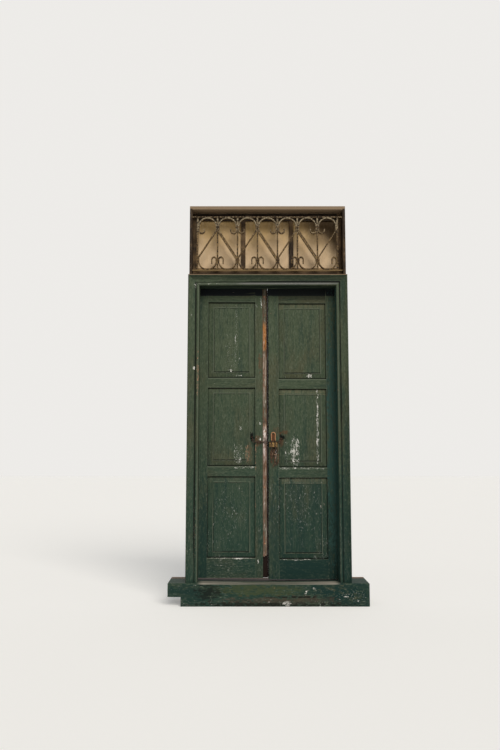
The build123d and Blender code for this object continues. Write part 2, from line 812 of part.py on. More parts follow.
# Straight braces that double the diagonals of the right-hand scrolls
diagonal_run = 2 * loop_radius
diagonal_drop = loop_high - loop_low - 2 * scroll_straight
slope = diagonal_drop / diagonal_run
drop_per_gap = (1 + slope**2) ** 0.5
with BuildPart() as braces:
    for middle in bays[1::2]:
        start_x = -bay_half
        end_x = loop_radius - flat_thick / 2
        with BuildSketch(facing(grille_front)):
            with BuildLine():
                edges = []
                for gap in (twin_spacing - flat_thick / 2, twin_spacing + flat_thick / 2):
                    level = loop_high - scroll_straight - gap * drop_per_gap
                    edges.append([(middle + x, level - slope * (x + loop_radius)) for x in (start_x, end_x)])
                Polyline(edges[0][0], edges[0][1], edges[1][1], edges[1][0], close=True)
            make_face()
        extrude(amount=-flat_depth)
keep(braces, "grille_braces")

# Collars that bind the scrolls to the bars between them
with BuildPart() as collars:
    for x in bar_xs[1:-1]:
        for level in (loop_high - collar_height, loop_low):
            half_x = bar_side / 2 + flat_thick
            low = (x - half_x - collar_thick, grille_front - collar_thick, level)
            high = (x + half_x + collar_thick, grille_back + collar_thick, level + collar_height)
            block(low, high)
            block((x - half_x, grille_front, level), (x + half_x, grille_back, level + collar_height), Mode.SUBTRACT)
keep(collars, "grille_collars")


# Chain: each half passes through a hole in its leaf, and the right half holds the padlock

bow_half = (link_width - link_wire) / 2
bow_corner = bow_half * tan(pi / 8)  # half of the flat at a bow's end
bow_end = link_reach / 2
bow_side = bow_end - bow_half + bow_corner
with BuildPart() as plain_link:
    with BuildLine():
        Polyline(
            (bow_end, bow_corner),
            (bow_side, bow_half),
            (-bow_side, bow_half),
            (-bow_end, bow_corner),
            (-bow_end, -bow_corner),
            (-bow_side, -bow_half),
            (bow_side, -bow_half),
            (bow_end, -bow_corner),
            close=True,
        )
    with BuildSketch(Plane(origin=(0, bow_half, 0), z_dir=(1, 0, 0))):
        RegularPolygon(link_wire / 2, 6, rotation=30)
    sweep(transition=Transition.RIGHT)


def links(steps, bows):
    """The links of a chain whose steps and bows are worked out already."""
    placed = []
    for (along, across), bow in zip(steps, bows):
        frame = Plane(origin=bow + along * (link_reach / 2), x_dir=along, z_dir=along.cross(across))
        placed.append(frame.location * plain_link.part)
    return placed


with BuildPart() as left_chain:
    add(links(left_steps, left_bows))
keep(left_chain, "left_chain")

# Right half: a link on the left leg, the run from the right leg, and above them a link on each leg for its tail
tail_link_z = chain_level + link_wire + 2 * link_seat
tail_link_start = chain_y + bow_to_leg
tail_y = tail_link_start - link_reach
with BuildPart() as right_chain:
    add(links(right_steps, right_bows))
    first_step = (Vector(1, 0, 0), Vector(0, 1, 0))
    add(links([first_step], [Vector(chain_part + link_wire / 2, chain_y, chain_level)]))
    for leg_x in (left_leg_x, right_leg_x):
        add(links([(Vector(0, -1, 0), Vector(1, 0, 0))], [Vector(leg_x, tail_link_start, tail_link_z)]))
keep(right_chain, "right_chain")

down = Vector(0, 0, -1)
for leg_x, count, name in zip((left_leg_x, right_leg_x), tail_links, ("left_chain_tail", "right_chain_tail")):
    steps = [(down, Vector(number % 2, 1 - number % 2, 0)) for number in range(count)]
    bows, _ = hang((leg_x, tail_y, tail_link_z + link_hook), steps)
    with BuildPart() as tail:
        add(links(steps, bows))
    keep(tail, name)


# Padlock

lock_x = (left_leg_x + right_leg_x) / 2
lock_top = chain_level - lock_drop
with BuildPart() as lock_body:
    with BuildSketch(Plane.XY.offset(lock_top - lock_height)):
        with Locations((lock_x, chain_y)):
            RectangleRounded(lock_width, lock_thick, lock_edge)
    extrude(amount=lock_height)
    chamfer(lock_body.faces().sort_by(Axis.Z)[0].outer_wire().edges(), lock_edge / 3)
    for leg_x, leg in ((left_leg_x, short_leg), (right_leg_x, long_leg)):
        depth = leg + link_seat
        with Locations((leg_x, chain_y, lock_top - depth / 2)):
            Cylinder(leg_radius + shackle_slack, depth, mode=Mode.SUBTRACT)
    with Locations((lock_x, chain_y, lock_top - lock_height + keyway_depth / 2)):
        Cylinder(keyway_radius, keyway_depth, mode=Mode.SUBTRACT)
keep(lock_body, "padlock_body")

with BuildPart() as shackle:
    crown_z = lock_top + shackle_rise - leg_radius - shackle_pitch / 2
    with BuildSketch(Plane.XY.offset(crown_z)):
        with Locations((left_leg_x, chain_y)):
            RegularPolygon(leg_radius, shackle_sides)
    revolve(axis=Axis((lock_x, chain_y, crown_z), (0, 1, 0)), revolution_arc=180)
    for leg_x, leg in ((left_leg_x, short_leg), (right_leg_x, long_leg)):
        with BuildSketch(Plane.XY.offset(crown_z)):
            with Locations((leg_x, chain_y)):
                RegularPolygon(leg_radius, shackle_sides)
        extrude(amount=lock_top - leg - crown_z)
keep(shackle, "padlock_shackle")
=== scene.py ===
from math import radians

import bmesh
import bpy
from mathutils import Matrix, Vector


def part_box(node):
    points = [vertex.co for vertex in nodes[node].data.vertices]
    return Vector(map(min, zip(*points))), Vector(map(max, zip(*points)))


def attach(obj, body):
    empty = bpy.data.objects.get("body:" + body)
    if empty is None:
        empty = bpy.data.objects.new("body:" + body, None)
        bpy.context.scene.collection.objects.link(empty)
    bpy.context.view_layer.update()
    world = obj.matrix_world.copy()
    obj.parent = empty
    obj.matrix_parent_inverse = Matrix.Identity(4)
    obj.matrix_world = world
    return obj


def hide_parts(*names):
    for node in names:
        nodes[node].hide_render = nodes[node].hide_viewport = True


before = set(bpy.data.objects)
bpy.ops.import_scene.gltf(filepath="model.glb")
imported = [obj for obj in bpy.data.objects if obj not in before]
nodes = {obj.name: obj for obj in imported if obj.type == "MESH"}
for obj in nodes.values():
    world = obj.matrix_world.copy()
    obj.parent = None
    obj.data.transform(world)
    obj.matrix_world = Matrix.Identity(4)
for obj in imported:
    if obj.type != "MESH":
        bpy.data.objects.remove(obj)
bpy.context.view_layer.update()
print("frame loaded:", len(nodes), "nodes")

# Camera at the street, light from the upper right

cameraFacts = {"place": (-0.133, -5.368, 1.034), "tilt": 6.61, "lens": 35.0, "sensor": 36.0, "near": 0.05}
camera = bpy.data.objects.new("camera", bpy.data.cameras.new("camera"))
bpy.context.scene.collection.objects.link(camera)
camera.location = cameraFacts["place"]
camera.rotation_euler = (radians(90 + cameraFacts["tilt"]), 0, 0)
camera.data.lens = cameraFacts["lens"]
camera.data.sensor_width = cameraFacts["sensor"]
camera.data.clip_start = cameraFacts["near"]
bpy.context.scene.camera = camera
bpy.context.scene.view_settings.view_transform = "Standard"

lightFacts = {
    "sunTurn": 18.0,  # degrees to the right of straight ahead
    "sunHeight": 34.0,
    "sunSpread": 38.0,
    "sunStrength": 2.5,
    "sunColour": (1.0, 0.965, 0.91),
    "skyColour": (0.9, 0.96, 1.0, 1),
    "skyStrength": 0.26,
    "backdrop": (0.85, 0.835, 0.81, 1),
    "floorColour": (0.88, 0.86, 0.83, 1),
    "floorDim": 0.98,  # the darker patches, as a share of the colour
    "floorPatch": 0.6,
    "floorGlow": 0.28,  # only to the camera and in mirrors
    "floorSize": 80.0,
}
sun = bpy.data.objects.new("sun", bpy.data.lights.new("sun", "SUN"))
bpy.context.scene.collection.objects.link(sun)
sun.rotation_euler = (radians(90 - lightFacts["sunHeight"]), 0, radians(lightFacts["sunTurn"]))
sun.data.energy = lightFacts["sunStrength"]
sun.data.angle = radians(lightFacts["sunSpread"])
sun.data.color = lightFacts["sunColour"]


class Wire:  # the output of a node; Python's operators on it add Math nodes
    def __init__(self, finish, socket):
        self.finish = finish
        self.socket = socket

    def __add__(self, other):
        return self.finish.maths("ADD", self, other)

    def __sub__(self, other):
        return self.finish.maths("SUBTRACT", self, other)

    def __rsub__(self, other):
        return self.finish.maths("SUBTRACT", other, self)

    def __mul__(self, other):
        return self.finish.maths("MULTIPLY", self, other)

    def __truediv__(self, other):
        return self.finish.maths("DIVIDE", self, other)

    def __rtruediv__(self, other):
        return self.finish.maths("DIVIDE", other, self)

    __radd__ = __add__
    __rmul__ = __mul__


class Finish:  # a node tree in the making
    def __init__(self, name, tree=None):
        if tree is None:
            self.material = bpy.data.materials.new(name)
            self.material.use_nodes = True
            tree = self.material.node_tree
        self.tree = tree

    def node(self, kind, settings=None, sockets=None, output=0):
        made = self.tree.nodes.new(kind)
        for name, value in (settings or {}).items():
            if name == "stops":
                ramp = made.color_ramp
                for place, _ in value[len(ramp.elements):]:
                    ramp.elements.new(place)
                for element, (place, tone) in zip(ramp.elements, value):
                    element.position = place
                    element.color = tone
            else:
                setattr(made, name, value)
        for name, value in (sockets or {}).items():
            if isinstance(value, Wire):
                self.tree.links.new(value.socket, made.inputs[name])
            else:
                made.inputs[name].default_value = value
        return Wire(self, made.outputs[output])

    def maths(self, operation, *values):
        return self.node("ShaderNodeMath", {"operation": operation}, dict(enumerate(values)))

    def lower(self, first, second):
        return self.maths("MINIMUM", first, second)

    def upper(self, first, second):
        return self.maths("MAXIMUM", first, second)

    def rise(self, value, start, end):  # 0 before start, 1 after end, smooth between
        sockets = {0: value, 1: start, 2: end}
        return self.node("ShaderNodeMapRange", {"interpolation_type": "SMOOTHSTEP"}, sockets)

    def band(self, value, middle, half, soft):
        return 1 - self.rise(self.maths("ABSOLUTE", value - middle), half, half + soft)

    def blend(self, factor, first, second):  # sockets 6 and 7 are the colours, output 2 their mix
        sides = [tone if isinstance(tone, Wire) else (*tone[:3], 1) for tone in (first, second)]
        return self.node("ShaderNodeMix", {"data_type": "RGBA"}, {0: factor, 6: sides[0], 7: sides[1]}, 2)

    def layers(self, tone, colours, *rows):  # each row is noise, start, end, strength, colour
        for value, start, end, strength, name in rows:
            tone = self.blend(self.rise(value, start, end) * strength, tone, colours[name])
        return tone

    def ramp(self, value, *stops):
        stops = [(place, (*tone[:3], 1)) for place, tone in stops]
        return self.node("ShaderNodeValToRGB", {"stops": stops}, {0: value})

    def start(self):  # the place on the piece, in metres, whole and in parts
        self.spot = self.node("ShaderNodeTexCoord", output="Object")
        self.x, self.y, self.z = self.parts(self.spot)
        self.frayed = 0.0
        self.front = 1.0

    def parts(self, vector):
        made = self.tree.nodes.new("ShaderNodeSeparateXYZ")
        self.tree.links.new(vector.socket, made.inputs[0])
        return [Wire(self, socket) for socket in made.outputs]

    def noise(self, scale, stretch=(1, 1, 1), detail=3.0, rough=0.55, warp=0.0, shift=0.0):
        place = {"Vector": self.spot, "Location": (shift, shift, shift), "Scale": stretch}
        moved = self.node("ShaderNodeMapping", {}, place)
        sockets = {"Vector": moved, "Scale": scale, "Detail": detail, "Roughness": rough, "Distortion": warp}
        return self.node("ShaderNodeTexNoise", {}, sockets)

    def marks(self, places):  # the union of frayed ellipses: x, z, half width, half height, strength
        total = None
        for x, z, wide, high, strength in places:  # solid to half their size, gone at the whole
            across = (self.x - x) / wide
            along = (self.z - z) / high
            spot = (1 - self.rise(across * across + along * along + self.frayed, 0.25, 1.0)) * strength
            total = spot if total is None else self.upper(total, spot)
        return total * self.front

    def seen(self):  # 1 to the camera, in mirrors and through glass
        rays = self.tree.nodes.new("ShaderNodeLightPath")
        kinds = [Wire(self, rays.outputs[f"Is {kind} Ray"]) for kind in ("Camera", "Glossy", "Transmission")]
        return self.upper(self.upper(kinds[0], kinds[1]), kinds[2])

    def arris(self, low, high):  # how far the nearest edge of the piece's box is, in metres
        sides = [
            self.lower(part - start, end - part)
            for part, start, end in ((self.x, low.x, high.x), (self.y, low.y, high.y), (self.z, low.z, high.z))
        ]
        least = self.lower(sides[0], sides[2])
        most = self.upper(sides[0], sides[2])
        return self.upper(least, self.lower(most, sides[1]))

    def relief(self, height, distance):
        return self.node("ShaderNodeBump", {}, {"Height": height, "Distance": distance, "Strength": 1.0})

    def wear(self, members, **facts):  # ends the tree with these facts of the main shader
        shader = self.tree.nodes["Principled BSDF"]
        for fact, value in facts.items():
            socket = shader.inputs[fact.replace("_", " ")]
            if isinstance(value, Wire):
                self.tree.links.new(value.socket, socket)
            else:
                socket.default_value = value
        for name in (members,) if isinstance(members, str) else members:
            piece = nodes[name] if name in nodes else bpy.data.objects[name]
            piece.data.materials.clear()
            piece.data.materials.append(self.material)


world = bpy.data.worlds.new("studio")
world.use_nodes = True
bpy.context.scene.world = world
sky = Finish("sky", world.node_tree)
lit = sky.node("ShaderNodeBackground", {}, {"Color": lightFacts["skyColour"], "Strength": lightFacts["skyStrength"]})
pale = sky.node("ShaderNodeBackground", {}, {"Color": lightFacts["backdrop"], "Strength": 1.0})
both = sky.node("ShaderNodeMixShader", {}, {0: sky.seen(), 1: lit, 2: pale})
sky.tree.links.new(both.socket, sky.tree.nodes["World Output"].inputs["Surface"])

bpy.ops.object.select_all(action="DESELECT")
bpy.ops.mesh.primitive_plane_add(size=lightFacts["floorSize"], location=(0, 0, 0))
floor = bpy.context.object
floor.name = "floor"
ground = Finish("paleFloor")
ground.start()
dimFloor = [value * lightFacts["floorDim"] for value in lightFacts["floorColour"]]
ground.wear(
    "floor",
    Base_Color=ground.blend(ground.noise(lightFacts["floorPatch"]), lightFacts["floorColour"], dimFloor),
    Roughness=0.9,
    Specular_IOR_Level=0.1,
    Emission_Color=ground.blend(ground.seen(), (0, 0, 0), lightFacts["floorColour"]),
    Emission_Strength=lightFacts["floorGlow"],
)
print("camera, light and floor made")

# Old green paint on timber

paintFacts = {
    "fresh": (0.0175, 0.0420, 0.0290),  # green that the sun hasn't reached
    "faded": (0.0570, 0.0760, 0.0430),
    "olive": (0.0760, 0.0690, 0.0370),
    "shade": (0.0085, 0.0270, 0.0225),
    "chalk": (0.1150, 0.1350, 0.0950),
    # dark dirt, and painted shade in recesses, grooves, gaps and holes
    "grimeAndShade": (0.0065, 0.0085, 0.0060),
    "bare": (0.2900, 0.1750, 0.1100),
    "rust": (0.1100, 0.0450, 0.0200),
    "undercoat": (0.7200, 0.7000, 0.6500),
    "joint": (0.0130, 0.0070, 0.0050),  # unpainted timber in the joint between the leaves and on the tread under them, near black as painted shade
    "timber": (0.0620, 0.0420, 0.0280),
    "headShadow": (0.0062, 0.0078, 0.0088),  # painted shadow under the head, with soot in it
    # painted bluish shade where the right jamb is in shadow
    "bluishShade": (0.0280, 0.0700, 0.0600),
    "moss": (0.0470, 0.0600, 0.0260),
    "flaked": (0.2500, 0.2700, 0.2450),
    # pale tone of the painted highlight on the head's bead
    "beadHighlight": (0.1700, 0.1650, 0.1600),
    "trodden": (0.3400, 0.3050, 0.2500),
    "lit": (0.1350, 0.1250, 0.0720),
    "fade": (0.1, 2.0),  # the green fades between these heights
    "noises": {  # scale, stretch along the grain, detail, roughness, warp, shift
        "broad": (4.5, 0.45, 3.0, 0.60, 0.4, 0),
        "board": (16.0, 0.10, 3.0, 0.60, 0.3, 2),
        "wide": (48.0, 0.06, 3.0, 0.65, 0.3, 3),
        "streak": (210.0, 0.045, 3.0, 0.70, 0.0, 0),
        "speck": (330.0, 0.45, 2.0, 0.60, 0.2, 0),
        "flake": (75.0, 0.22, 4.0, 0.70, 0.5, 5),
        "mottle": (115.0, 0.35, 3.0, 0.70, 0.4, 9),
        "fray": (75.0, 0.40, 4.0, 0.75, 0.6, 7),
        "pepper": (165.0, 0.30, 2.0, 0.60, 0.4, 11),
    },
    "usual": {"olive": 0.0, "shade": 0.0, "chalk": 0.3, "mottle": 0.55, "wear": 0.0, "pepper": 0.5, "lit": 0.25},
    "fray": 7.0,
    "front": (0.121, 0.124),  # chips and stains lie in front of this
    "rub": (0.0005, 0.0045),  # the width of the rubbed edges
    "bandSoft": 0.0025,
    "bandShare": 0.35,
    "dust": (0.19, 0.32),
    "chips": (0.30, 0.335),
    "markEdge": (0.03, 0.12),
    "pepperLevel": (0.7, 1.1),
    "brush": 0.0009,
}
panelFacts = {  # lines on a panel: distance from its foot or head, half width, softness
    # painted shade in the recess at the panel's foot and painted shadow under the rail at its head
    "shadeAtFoot": (0.0130, 0.0040, 0.0040),
    "shadowAtHead": (0.0125, 0.0040, 0.0030),
    # painted shadow under the field's foot, painted highlight on the field's head and on the bevel above it
    "fieldFoot": (0.0555, 0.0028, 0.0030),
    "fieldHead": (0.0505, 0.0022, 0.0020),
    "bevel": (0.0280, 0.0120, 0.0060),
    "fieldSide": (0.044, 0.052),  # where the field begins, from the sides
    "ringSoft": 0.002,
}
jointFacts = {"front": 0.003, "back": 0.002, "side": 0.02}  # how softly the paint ends
lipFacts = {"deep": (0.070, 0.120), "half": 0.46, "soft": 0.06, "crest": 0.001}


def greenPaint(node, upright=True, seed=0.0, **facts):
    finish = Finish("green_" + node)
    finish.start()
    low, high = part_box(node)
    colours = paintFacts
    facts = {**colours["usual"], **facts}

    noises = []
    for scale, grain, detail, rough, warp, shift in colours["noises"].values():
        stretch = (1, 1, grain) if upright else (grain, 1, 1)
        noises.append(finish.noise(scale, stretch, detail, rough, warp, seed + shift))
    broad, board, wide, streak, speck, flake, mottle, fray, pepper = noises

    tone = finish.blend(finish.rise(finish.z, *colours["fade"]), colours["fresh"], colours["faded"])
    tone = finish.layers(
        tone,
        colours,
        (broad + facts["olive"], 0.46, 0.78, 0.70, "olive"),
        (board + facts["shade"], 0.50, 0.80, 0.70, "shade"),
        (1 - board, 0.54, 0.80, 0.20, "chalk"),
        (wide, 0.54, 0.78, 0.40, "shade"),
        (streak, 0.52, 0.74, facts["chalk"], "chalk"),
        (1 - streak, 0.54, 0.74, 0.60, "grimeAndShade"),
        (mottle, 0.50, 0.72, facts["mottle"], "chalk"),
        (1 - mottle, 0.50, 0.74, 0.60, "shade"),
    )

    finish.frayed = (fray - 0.5) * colours["fray"]
    finish.front = 1 - finish.rise(finish.y, *colours["front"])
    edge = 1 - finish.rise(finish.arris(low, high), *colours["rub"])
    rubbed = edge * finish.rise(speck * 0.4 + wide * 0.6, 0.42, 0.58)
    tone = finish.blend(rubbed * 0.7, tone, colours["chalk"])

    def across(level, name, way):  # a line at this distance above or below a level
        inset, half, soft = panelFacts[name]
        return finish.band(finish.z, level + way * inset, half, soft)

    if "rings" in facts:  # painted shade along a panel's edges and under its field, painted light on the bevel under its head
        dirt = finish.upper(across(low.z, "shadeAtFoot", 1), across(high.z, "shadowAtHead", -1))
        tone = finish.blend(dirt * 0.75, tone, colours["grimeAndShade"])
        side = finish.lower(finish.x - low.x, high.x - finish.x)
        foot = across(low.z, "fieldFoot", 1) * finish.rise(side, *panelFacts["fieldSide"])
        tone = finish.blend(foot * finish.rise(board, 0.25, 0.50) * 0.85, tone, colours["grimeAndShade"])
        bevel = finish.upper(across(high.z, "bevel", -1) * 0.6, across(high.z, "fieldHead", -1))
        tone = finish.blend(bevel * finish.rise(wide, 0.35, 0.60) * facts["lit"], tone, colours["lit"])
        inner = finish.lower(side, finish.lower(finish.z - low.z, high.z - finish.z))
        for inset, half, strength, kind in facts["rings"]:
            line = finish.band(inner, inset, half, panelFacts["ringSoft"]) * strength
            tone = finish.blend(line * finish.rise(wide, 0.30, 0.60), tone, colours[kind])
    for part, middle, half, strength, kind in facts.get("bands", ()):
        soft = max(colours["bandSoft"], half * colours["bandShare"])
        line = finish.band(getattr(finish, part), middle, half, soft) * strength
        tone = finish.blend(finish.lower(line * finish.rise(board, 0.25, 0.55), 1.0), tone, colours[kind])

    pale = finish.marks(facts["white"]) if "white" in facts else None
    wood = finish.marks(facts["bare"]) if "bare" in facts else None
    worn = rubbed * 0.10 + facts["wear"]
    for region in (pale, wood):
        if region:
            worn = worn + region
    spread = finish.upper((speck - 0.5) * 1.1, (flake - 0.5) * 1.3) + worn
    chips = finish.rise(spread, *colours["chips"])
    dust = finish.rise(spread, *colours["dust"]) * finish.lower(worn * 2.5, 0.5)
    tone = finish.blend(dust, tone, colours["chalk"])
    lowDown = facts["pepper"] * (1 - finish.rise(finish.z, *colours["pepperLevel"])) * finish.front
    patchy = finish.rise(broad + board * 0.5, 0.68, 0.90)
    tone = finish.layers(tone, colours, (pepper, 0.610, 0.660, lowDown * patchy, "flaked"))
    for kind, places in facts.get("patches", {}).items():
        tone = finish.blend(finish.lower(finish.marks(places) * (wide + flake), 1.0), tone, colours[kind])
    primed = finish.rise(broad + streak * 0.4, 0.55, 0.80)
    if pale:
        primed = finish.upper(primed, finish.rise(pale, *colours["markEdge"]))
    if wood:
        primed = primed * (1 - finish.rise(wood, *colours["markEdge"]))
    tone = finish.blend(chips, tone, finish.blend(primed, colours["bare"], colours["undercoat"]))
    # unpainted timber in a joint, near black as the painted shade in it
    if "unpainted" in facts:
        start, end, half = facts["unpainted"]
        hidden = finish.rise(finish.y, start, start + jointFacts["front"])
        hidden = hidden * (1 - finish.rise(finish.y, end, end + jointFacts["back"]))
        hidden = hidden * finish.band(finish.x, 0.0, half, jointFacts["side"])
        tone = finish.blend(hidden, tone, colours["joint"])
    if "lip" in facts:
        start, end = (low.y + depth for depth in lipFacts["deep"])
        lip = finish.rise(finish.z, facts["lip"], high.z - lipFacts["crest"]) * (1 - finish.rise(finish.y, start, end))
        lip = lip * finish.band(finish.x, 0.0, lipFacts["half"], lipFacts["soft"]) * finish.rise(wide, 0.30, 0.50)
        tone = finish.blend(lip, tone, colours["trodden"])
    if "indoors" in facts:
        inside = finish.blend(finish.rise(wide * 0.6 + streak * 0.4, 0.42, 0.62), colours["timber"], colours["bare"])
        tone = finish.blend(finish.rise(finish.y, facts["indoors"], facts["indoors"] + 0.01), tone, inside)
    height = streak * 0.35 + wide * 0.25 + speck * 0.12 - chips * 0.5
    finish.wear(
        node,
        Base_Color=tone,
        Roughness=0.52 + streak * 0.16 + chips * 0.25,
        Specular_IOR_Level=0.09,
        Normal=finish.relief(height, colours["brush"]),
    )


fieldRing = (  # lines round a panel: inset, half width, strength, colour; a painted highlight on the field's edge, a painted shadow beside it and painted shade in the recess
    (0.0500, 0.0016, 0.9, "chalk"),
    (0.0560, 0.0020, 0.7, "grimeAndShade"),
    (0.0095, 0.0030, 0.9, "grimeAndShade"),
)
shadowUnderHead = ("z", 2.325, 0.038, 4.0, "headShadow")  # painted shadow that the head casts on the tops of the leaves, with soot in it
greenPaint("left_post", olive=0.12, seed=0.1)
# painted bluish shade on the right jamb's inner face
greenPaint("right_post", shade=0.10, patches={"bluishShade": [(0.513, 1.2, 0.05, 1.6, 1.6)]}, seed=1.3)
# painted shade on the head's soffit
greenPaint("door_head", False, shade=0.30, bands=[("y", 0.06, 0.058, 0.7, "grimeAndShade")], mottle=0.1, seed=2.2)
greenPaint(
    "left_architrave",
    white=[
        (-0.548, 1.708, 0.009, 0.014, 0.42),
        (-0.569, 2.095, 0.007, 0.030, 0.16),
        (-0.536, 2.330, 0.016, 0.030, 0.20),
    ],
    bare=[(-0.520, 1.64, 0.008, 0.16, 0.28), (-0.565, 0.9, 0.010, 0.3, 0.12), (-0.530, 0.45, 0.010, 0.2, 0.16)],
    # painted shade in the groove and along the outer edge, painted highlight on the bead
    bands=[
        ("x", -0.5385, 0.0045, 0.9, "grimeAndShade"),
        ("x", -0.5170, 0.0030, 0.6, "chalk"),
        ("x", -0.5950, 0.0020, 0.7, "grimeAndShade"),
    ],
    seed=0.4,
)
greenPaint(
    "right_architrave",
    shade=0.10,
    patches={"shade": [(0.55, 0.5, 0.08, 0.6, 0.6)]},
    bare=[(0.52, 1.2, 0.006, 0.5, 0.12)],
    # painted shade in the groove and along the outer edge, painted highlight on the bead
    bands=[
        ("x", 0.5385, 0.0045, 0.9, "grimeAndShade"),
        ("x", 0.5190, 0.0040, 0.6, "chalk"),
        ("x", 0.5950, 0.0020, 0.7, "grimeAndShade"),
    ],
    seed=1.9,
)
greenPaint(
    "head_architrave",
    False,
    shade=0.04,
    white=[(-0.40, 2.344, 0.12, 0.007, 0.12), (0.3, 2.344, 0.22, 0.007, 0.11)],
    bands=[
        # painted shade in the groove and on the hollow, painted highlight on the bead and along the top edge
        ("z", 2.3600, 0.005, 1.5, "grimeAndShade"),
        ("z", 2.3440, 0.006, 0.75, "beadHighlight"),
        ("z", 2.387, 0.014, 0.5, "grimeAndShade"),
        ("z", 2.4125, 0.0015, 0.8, "bare"),
    ],
    seed=3.1,
)
greenPaint(
    "left_hanging_stile",
    olive=0.04,
    shade=0.04,
    patches={"shade": [(-0.46, 0.4, 0.08, 0.5, 0.7)]},
    bands=[shadowUnderHead],
    seed=4.0,
)
greenPaint(
    "left_meeting_stile",
    olive=0.06,
    chalk=0.4,
    white=[
        (-0.048, 2.222, 0.008, 0.040, 0.30),
        (-0.083, 2.195, 0.007, 0.018, 0.2),
        (-0.060, 1.302, 0.010, 0.012, 0.30),
        (-0.060, 1.183, 0.010, 0.014, 0.30),
        (-0.073, 0.291, 0.007, 0.018, 0.30),
    ],
    bare=[(-0.094, 1.077, 0.010, 0.10, 0.32), (-0.056, 1.765, 0.014, 0.06, 0.12), (-0.096, 0.60, 0.007, 0.30, 0.14)],
    patches={"rust": [(-0.075, 1.17, 0.03, 0.05, 0.6), (-0.056, 1.765, 0.016, 0.07, 0.5)]},
    bands=[shadowUnderHead],
    unpainted=(0.107, 0.1435, 1.0),
    seed=4.8,
)
greenPaint(
    "right_hanging_stile",
    chalk=0.5,
    # painted shade along the right jamb, bluish higher up
    patches={"shade": [(0.48, 0.5, 0.09, 0.7, 0.9)], "bluishShade": [(0.49, 1.2, 0.05, 1.0, 0.8)]},
    bands=[shadowUnderHead],
    seed=5.5,
)
greenPaint(
    "right_meeting_stile",
    olive=0.02,
    white=[(0.08, 0.9, 0.006, 0.5, 0.08), (0.058, 1.06, 0.012, 0.07, 0.2)],
    bare=[(0.040, 1.05, 0.024, 0.075, 0.22)],
    patches={
        "rust": [
            (0.050, 1.07, 0.036, 0.10, 0.7),
            (0.026, 1.08, 0.010, 0.10, 0.9),
            (0.07, 1.24, 0.03, 0.04, 0.3),
            (0.041, 1.195, 0.017, 0.055, 1.8),
        ],
        "shade": [(0.06, 0.50, 0.06, 0.45, 0.6)],
        # the first dark patch is painted shade in the gap between the leaves
        "grimeAndShade": [(0.0035, 1.2, 0.006, 2.0, 0.9), (0.052, 1.085, 0.020, 0.055, 1.3), (0.060, 1.03, 0.014, 0.06, 0.7)],
    },
    bands=[shadowUnderHead],
    unpainted=(0.1125, 0.1435, 1.0),
    seed=6.1,
)
greenPaint(
    "left_upper_panel",
    chalk=0.45,
    white=[
        (-0.238, 2.06, 0.011, 0.20, 0.165),
        (-0.243, 1.84, 0.020, 0.17, 0.150),
        (-0.292, 1.86, 0.040, 0.20, 0.120),
        (-0.262, 1.78, 0.06, 0.12, 0.115),
        (-0.277, 1.704, 0.010, 0.013, 0.24),
        (-0.218, 1.665, 0.026, 0.007, 0.20),
    ],
    rings=fieldRing,
    seed=7.0,
)
greenPaint(
    "left_middle_panel",
    white=[(-0.222, 1.08, 0.042, 0.08, 0.19), (-0.204, 1.269, 0.010, 0.020, 0.24), (-0.26, 1.3, 0.03, 0.14, 0.06)],
    bare=[(-0.154, 1.070, 0.016, 0.070, 0.26)],
    # the dark patch is painted shade in the mouth of the chain hole
    patches={"rust": [(-0.135, 1.09, 0.016, 0.07, 0.35)], "grimeAndShade": [(-0.119, 1.205, 0.014, 0.036, 2.2)]},
    rings=fieldRing,
    seed=8.0,
)
greenPaint("left_lower_panel", olive=-0.07, shade=0.04, mottle=0.3, wear=0.05, pepper=0.9, rings=fieldRing, seed=9.0)
greenPaint(
    "right_upper_panel",
    olive=0.08,
    white=[(0.315, 1.660, 0.024, 0.015, 0.33)],
    rings=fieldRing,
    lit=0.9,
    seed=10.0,
)
greenPaint(
    "right_middle_panel",
    olive=0.03,
    lit=0.9,
    white=[(0.142, 1.08, 0.016, 0.09, 0.15), (0.201, 1.090, 0.040, 0.11, 0.24), (0.373, 1.27, 0.009, 0.33, 0.25)],
    patches={
        "rust": [(0.115, 1.235, 0.035, 0.020, 0.6), (0.10, 1.17, 0.02, 0.05, 0.5)],
        # the dark patch is painted shade in the mouth of the chain hole
        "grimeAndShade": [(0.110, 1.202, 0.020, 0.020, 2.2)],
    },
    rings=fieldRing,
    seed=11.0,
)
greenPaint(
    "right_lower_panel",
    olive=-0.07,
    shade=0.14,
    mottle=0.3,
    wear=0.05,
    pepper=0.7,
    lit=0.7,
    rings=fieldRing,
    seed=12.0,
)
greenPaint("left_top_rail", False, olive=0.12, bands=[shadowUnderHead], seed=13.0)
# the chalk band at a rail's top, here and in the rails below, is a painted highlight along its top arris
greenPaint("left_upper_rail", False, olive=0.04, bands=[("z", 1.6425, 0.003, 0.6, "chalk")], seed=14.0)
greenPaint(
    "left_lower_rail",
    False,
    white=[(-0.16, 0.975, 0.09, 0.010, 0.22)],
    bands=[("z", 0.980, 0.003, 0.6, "chalk")],
    seed=15.0,
)
greenPaint(
    "left_bottom_rail",
    False,
    wear=0.05,
    white=[(-0.30, 0.235, 0.14, 0.07, 0.06), (-0.268, 0.314, 0.18, 0.007, 0.2)],
    bands=[("z", 0.3135, 0.003, 0.6, "chalk")],
    seed=16.0,
)
